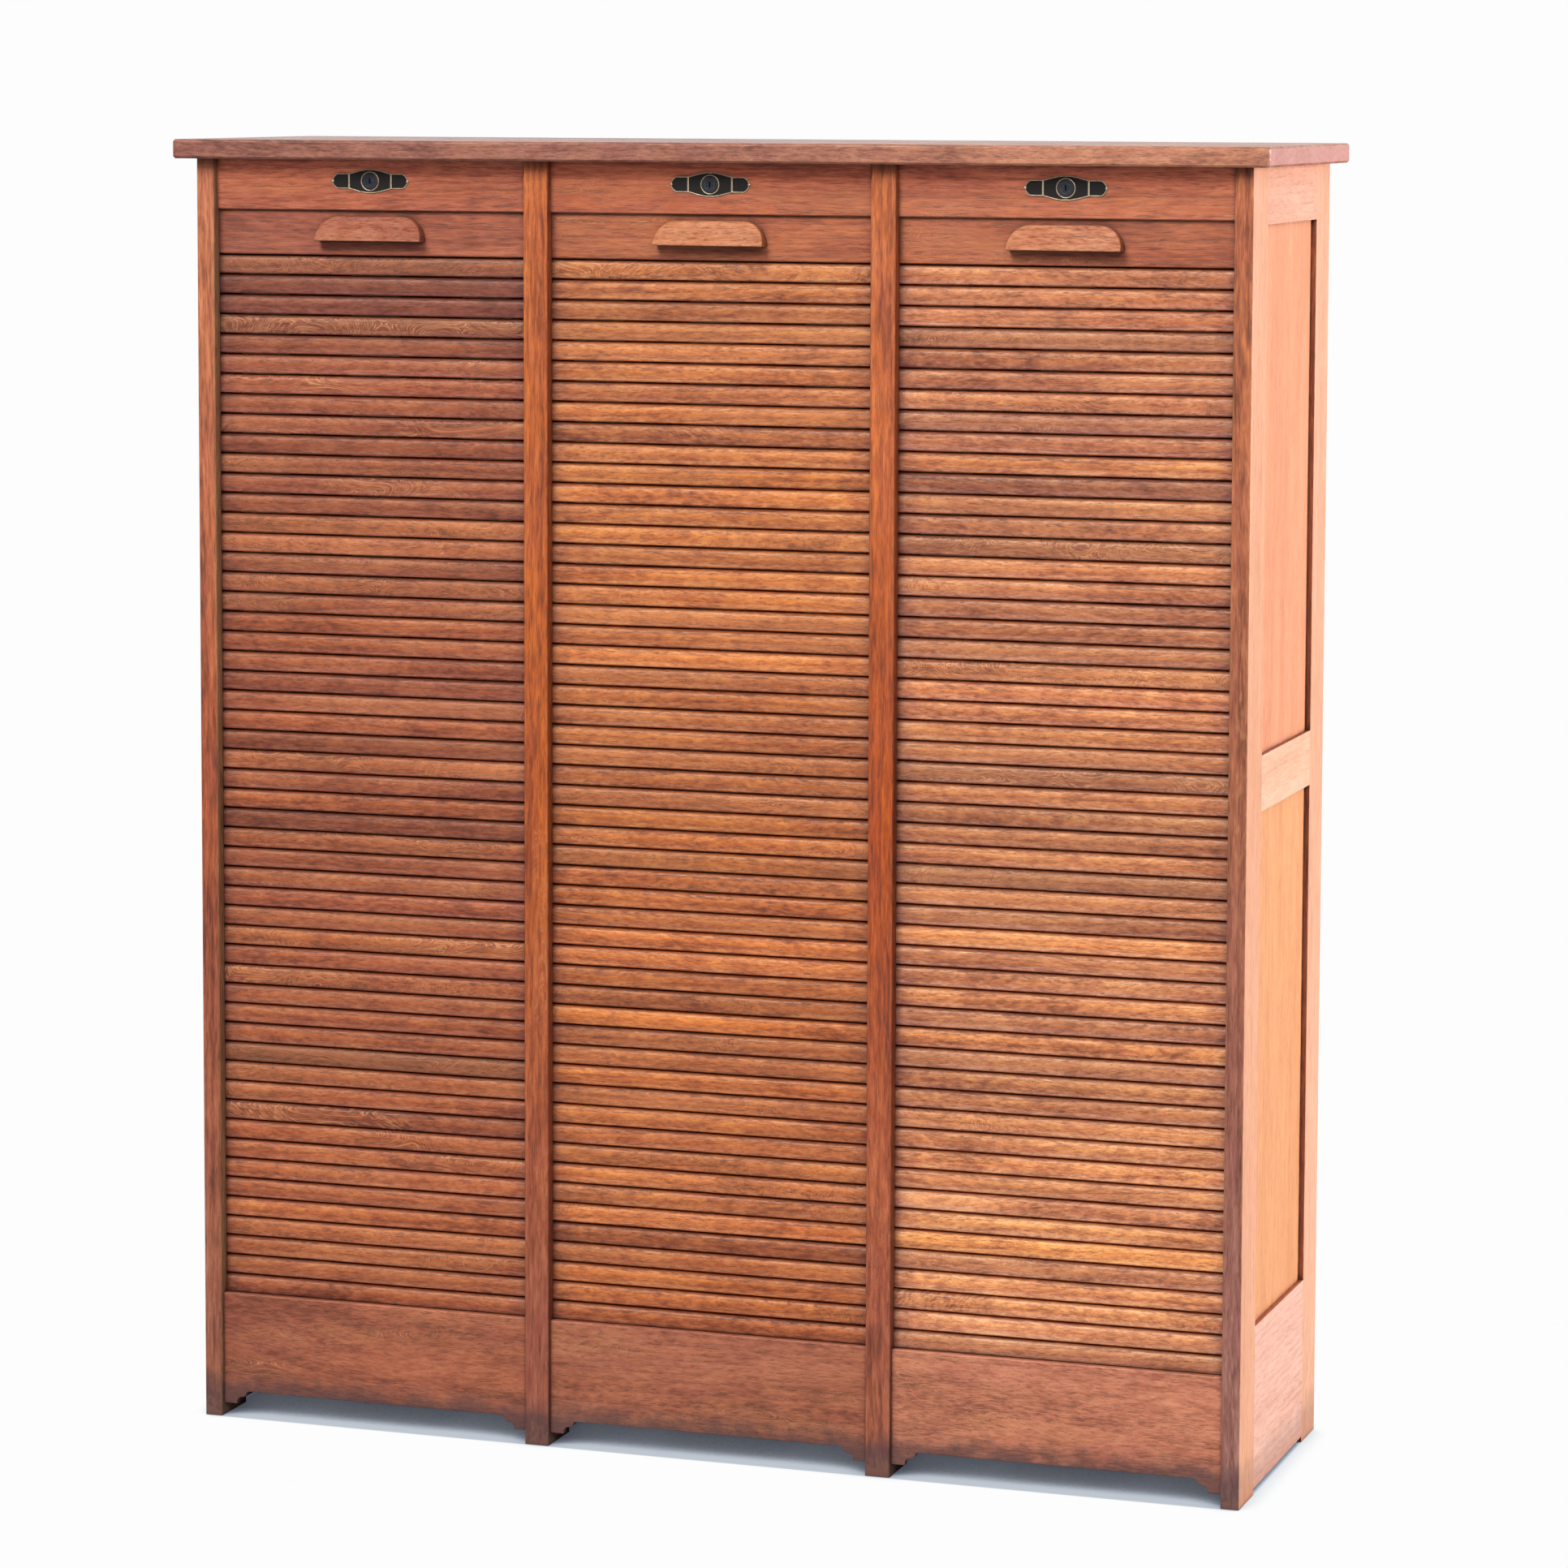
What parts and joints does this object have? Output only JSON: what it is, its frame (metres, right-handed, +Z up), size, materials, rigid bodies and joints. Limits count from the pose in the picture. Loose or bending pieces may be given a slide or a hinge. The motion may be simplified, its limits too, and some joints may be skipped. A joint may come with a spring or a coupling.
{
  "type": "filing cabinet",
  "caption": "Oak filing cabinet with side-by-side roller-shutter bays, framed side panels, bracket plinths and a lock over each shutter.",
  "frame": {"origin": "on the floor, in the middle of the cabinet's box", "axes": "+X to the viewer's right along the front, +Y from front to back, +Z up"},
  "size_m": [1.346, 0.406, 1.56],
  "materials": {
    "oak_top": "worn waxed oak",
    "oak_frame": "worn waxed oak, upright grain",
    "oak_panel": "waxed oak panel",
    "oak_rail": "waxed oak, level grain",
    "oak_slats": "waxed oak slats, each of its own tone",
    "oak_handle": "hand-worn oak",
    "oak_inside": "plain oak inside",
    "back_board": "dull plain back board",
    "canvas": "coarse linen canvas",
    "escutcheon_brass": "aged brass with black ground",
    "strike_brass": "dull brass",
    "lock_plug": "dark worn steel",
    "lock_iron": "blackened iron"
  },
  "bodies": {
    "cabinet": {"top_board": "oak_top", "left_gable_front_stile": "oak_frame", "left_gable_rear_stile": "oak_frame", "left_gable_top_rail": "oak_frame", "left_gable_middle_rail": "oak_frame", "left_gable_bottom_rail": "oak_frame", "left_gable_upper_panel": "oak_panel", "left_gable_lower_panel": "oak_panel", "left_partition_post": "oak_frame", "left_partition_board": "oak_inside", "right_gable_front_stile": "oak_frame", "right_gable_rear_stile": "oak_frame", "right_gable_top_rail": "oak_frame", "right_gable_middle_rail": "oak_frame", "right_gable_bottom_rail": "oak_frame", "right_gable_upper_panel": "oak_panel", "right_gable_lower_panel": "oak_panel", "right_partition_post": "oak_frame", "right_partition_board": "oak_inside", "left_top_rail": "oak_rail", "left_plinth": "oak_rail", "left_escutcheon": "escutcheon_brass", "left_bottom_board": "oak_inside", "left_shelves": "oak_inside", "centre_top_rail": "oak_rail", "centre_plinth": "oak_rail", "centre_escutcheon": "escutcheon_brass", "centre_bottom_board": "oak_inside", "centre_shelves": "oak_inside", "right_top_rail": "oak_rail", "right_plinth": "oak_rail", "right_escutcheon": "escutcheon_brass", "right_bottom_board": "oak_inside", "right_shelves": "oak_inside", "lock_cases": "lock_iron", "shelf_cleats": "oak_inside", "false_backs": "back_board", "back_panels": "back_board"},
    "left_shutter": {"left_lead_rail": "oak_rail", "left_handle": "oak_handle", "left_strike_plate": "strike_brass", "left_shutter_slats": "oak_slats", "left_shutter_canvas": "canvas"},
    "left_plug": {"left_lock_plug": "lock_plug"},
    "left_hook": {"left_lock_hook": "lock_iron"},
    "centre_shutter": {"centre_lead_rail": "oak_rail", "centre_handle": "oak_handle", "centre_strike_plate": "strike_brass", "centre_shutter_slats": "oak_slats", "centre_shutter_canvas": "canvas"},
    "centre_plug": {"centre_lock_plug": "lock_plug"},
    "centre_hook": {"centre_lock_hook": "lock_iron"},
    "right_shutter": {"right_lead_rail": "oak_rail", "right_handle": "oak_handle", "right_strike_plate": "strike_brass", "right_shutter_slats": "oak_slats", "right_shutter_canvas": "canvas"},
    "right_plug": {"right_lock_plug": "lock_plug"},
    "right_hook": {"right_lock_hook": "lock_iron"}
  },
  "joints": [
    {"name": "left_shutter_slide", "type": "slide", "parent": "cabinet", "child": "left_shutter", "axis": [0, 0, -1], "range_m": [0, 1.2805], "deforming": ["left_shutter_slats", "left_shutter_canvas"]},
    {"name": "left_plug_turn", "type": "hinge", "parent": "cabinet", "child": "left_plug", "pos_m": [-0.42867, -0.17, 1.5114], "axis": [0, -1, 0], "range_deg": [0, 90]},
    {"name": "left_hook_swing", "type": "hinge", "parent": "cabinet", "child": "left_hook", "pos_m": [-0.41867, -0.1567, 1.496], "axis": [0, -1, 0], "range_deg": [0, 90]},
    {"name": "centre_shutter_slide", "type": "slide", "parent": "cabinet", "child": "centre_shutter", "axis": [0, 0, -1], "range_m": [0, 1.2805], "deforming": ["centre_shutter_slats", "centre_shutter_canvas"]},
    {"name": "centre_plug_turn", "type": "hinge", "parent": "cabinet", "child": "centre_plug", "pos_m": [0, -0.17, 1.5114], "axis": [0, -1, 0], "range_deg": [0, 90]},
    {"name": "centre_hook_swing", "type": "hinge", "parent": "cabinet", "child": "centre_hook", "pos_m": [0.01, -0.1567, 1.496], "axis": [0, -1, 0], "range_deg": [0, 90]},
    {"name": "right_shutter_slide", "type": "slide", "parent": "cabinet", "child": "right_shutter", "axis": [0, 0, -1], "range_m": [0, 1.2805], "deforming": ["right_shutter_slats", "right_shutter_canvas"]},
    {"name": "right_plug_turn", "type": "hinge", "parent": "cabinet", "child": "right_plug", "pos_m": [0.42867, -0.17, 1.5114], "axis": [0, -1, 0], "range_deg": [0, 90]},
    {"name": "right_hook_swing", "type": "hinge", "parent": "cabinet", "child": "right_hook", "pos_m": [0.43867, -0.1567, 1.496], "axis": [0, -1, 0], "range_deg": [0, 90]}
  ],
  "couplings": [
    {"joint": "left_hook_swing", "follows": "left_plug_turn", "ratio": 1},
    {"joint": "centre_hook_swing", "follows": "centre_plug_turn", "ratio": 1},
    {"joint": "right_hook_swing", "follows": "right_plug_turn", "ratio": 1}
  ]
}
